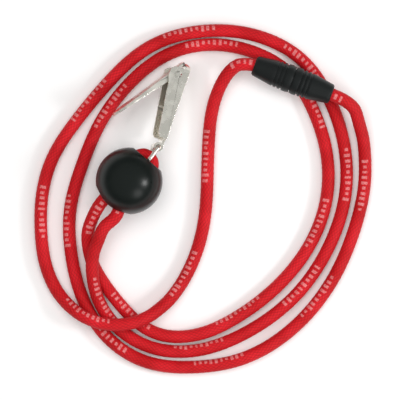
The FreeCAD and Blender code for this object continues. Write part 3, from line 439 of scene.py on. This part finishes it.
CORD_MATERIAL = cord_material()
MATERIALS = {
    "black_plastic": plastic_material("coupling_black", (0.006, 0.008, 0.008), 0.45, 5200.0, 0.35, 0.3),
    "ball_plastic": plastic_material("ball_black", (0.003, 0.006, 0.005), 0.3, 7000.0, 0.06, 0.32),
    "nickel": metal_material("nickel_plate", (0.98, 0.96, 0.88), 0.26, 900.0, 0.1),
    "spring_steel": metal_material("spring_wire", (0.5, 0.5, 0.5), 0.3, 900.0, 0.2),
    "ferrule_brass": metal_material("ferrule_tube", (0.78, 0.57, 0.25), 0.3, 900.0, 0.3),
    "crimp_aluminium": metal_material("crimp_metal", (0.8, 0.81, 0.82), 0.35, 900.0, 0.3),
}


EDGE_ROUNDING = {
    "clip_body": 0.16 * MM,
    "clip_lever": 0.16 * MM,
    "coupling_plug": 0.12 * MM,
    "coupling_socket": 0.12 * MM,
    "ball_shell_upper": 0.1 * MM,
    "ball_shell_lower": 0.1 * MM,
}


def round_edges(node, width):
    """Closes the seams between the node's faces and rounds its sharp edges."""
    weld = node.modifiers.new("weld", "WELD")
    weld.merge_threshold = 0.001 * MM
    bevel = node.modifiers.new("bevel", "BEVEL")
    bevel.width = width
    bevel.segments = 2
    bevel.limit_method = "ANGLE"
    bevel.angle_limit = math.radians(30)
    bevel.harden_normals = True


def finish_cad_nodes():
    """Gives every CAD node its material and the pressed or moulded ones small rounded edges."""
    slots = {part["node"]: part["material_slot"] for part in frame["record"]["subparts"]}
    for name, node in NODES.items():
        material = MATERIALS.get(slots[name])
        if material is None:
            continue
        node.data.materials.clear()
        node.data.materials.append(material)
        if name in EDGE_ROUNDING:
            round_edges(node, EDGE_ROUNDING[name])


# ---------------------------------------------------------------- pieces


SPLIT_BEND = 18 * MM
WRIST_BEND = 12 * MM
COIL_PIECES = 3


def build_cord():
    """Braided cord pieces: the ones across the plug and across the split stay where they are, the free
    strand between and the turns round the coil are attached to their bodies.
    """
    split = cord_index(SPLIT_POINT)
    mouth = cord_index(PLUG_MOUTH)
    bend = int(SPLIT_BEND / RING_SPACING)
    wrist = int(WRIST_BEND / RING_SPACING)
    last = len(CORD) - 1
    near_plug = cord_piece("cord_at_plug", 0, mouth + wrist)
    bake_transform(near_plug)
    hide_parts("plug_cord_end")
    free = cord_piece("cord_free_strand", mouth + wrist, split - bend)
    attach(free, "lead")
    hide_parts("lead_cord")
    joined = cord_piece("cord_at_split", split - bend, split + bend)
    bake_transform(joined)
    borders = np.linspace(split + bend, last, COIL_PIECES + 1).astype(int)
    for index in range(COIL_PIECES):
        turn = cord_piece(f"cord_coil_{index + 1}", borders[index], borders[index + 1])
        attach(turn, "coil")
        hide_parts("coil_cord")


# ---------------------------------------------------------------- stage


SKY_COLOR = (1.0, 1.0, 0.98, 1)
SKY_STRENGTH = 0.45
HORIZON_STRENGTH = 0.03
HORIZON_TOP = 0.12
SKY_BOTTOM = 0.55
KEY_PLACE = (0.48, -0.06, 0.36)
LOW_PLACE = (0.26, -0.40, 0.36)
TOP_PLACE = (-0.08, 0.10, 0.90)
FLOOR_SIZE = 3.0
FLOOR_DROP = 0.1 * MM


def area_light(name, place, size, power, seen_in_gloss=True):
    """A round soft light aimed at the middle of the coil."""
    light = bpy.data.lights.new(name, "AREA")
    light.shape = "DISK"
    light.size = size
    light.energy = power
    lamp = bpy.data.objects.new(name, light)
    bpy.context.scene.collection.objects.link(lamp)
    lamp.location = place
    lamp.rotation_mode = "QUATERNION"
    lamp.rotation_quaternion = (Vector(place) * -1).to_track_quat("-Z", "Y")
    lamp.visible_glossy = seen_in_gloss


def studio_world():
    """Pale sky, dark near the horizon, so metal edges read against the white floor."""
    world = bpy.data.worlds.new("studio")
    world.use_nodes = True
    tree = world.node_tree
    place = tree.nodes.new("ShaderNodeTexCoord")
    split = tree.nodes.new("ShaderNodeSeparateXYZ")
    tree.links.new(place.outputs["Generated"], split.inputs["Vector"])
    climb = tree.nodes.new("ShaderNodeMapRange")
    climb.inputs["From Min"].default_value = HORIZON_TOP
    climb.inputs["From Max"].default_value = SKY_BOTTOM
    climb.inputs["To Min"].default_value = HORIZON_STRENGTH
    climb.inputs["To Max"].default_value = SKY_STRENGTH
    tree.links.new(split.outputs["Z"], climb.inputs["Value"])
    background = tree.nodes["Background"]
    background.inputs["Color"].default_value = SKY_COLOR
    tree.links.new(climb.outputs["Result"], background.inputs["Strength"])
    bpy.context.scene.world = world


def build_stage():
    """White floor just under the cord, pale sky and three soft lights."""
    bpy.ops.mesh.primitive_plane_add(size=FLOOR_SIZE, location=(0, 0, -FLOOR_DROP))
    floor = bpy.context.object
    floor.name = "floor"
    material, tree, shader = new_material("white_floor")
    shader.inputs["Base Color"].default_value = (0.95, 0.95, 0.95, 1)
    shader.inputs["Roughness"].default_value = 0.9
    shader.inputs["Specular IOR Level"].default_value = 0.1
    floor.data.materials.append(material)
    studio_world()
    area_light("key_light", KEY_PLACE, 0.14, 1.1)
    area_light("low_light", LOW_PLACE, 0.30, 0.5)
    area_light("top_light", TOP_PLACE, 0.80, 4.9, seen_in_gloss=False)


CAMERA_HEIGHT = 2.0
FIELD_WIDTH = 0.140
PICTURE_CENTRE = (-0.00105, -0.00035)


def build_camera():
    """Straight down on the coil, as wide as the picture."""
    camera = bpy.data.cameras.new("camera")
    camera.sensor_width = 36.0
    camera.lens = camera.sensor_width * CAMERA_HEIGHT / FIELD_WIDTH
    camera.clip_start = 0.01
    camera.clip_end = 10.0
    holder = bpy.data.objects.new("camera", camera)
    bpy.context.scene.collection.objects.link(holder)
    holder.location = (PICTURE_CENTRE[0], PICTURE_CENTRE[1], CAMERA_HEIGHT)
    holder.rotation_euler = (0, 0, 0)
    bpy.context.scene.camera = holder


finish_cad_nodes()
build_cord()
build_stage()
build_camera()
bpy.context.scene.view_settings.view_transform = "Standard"
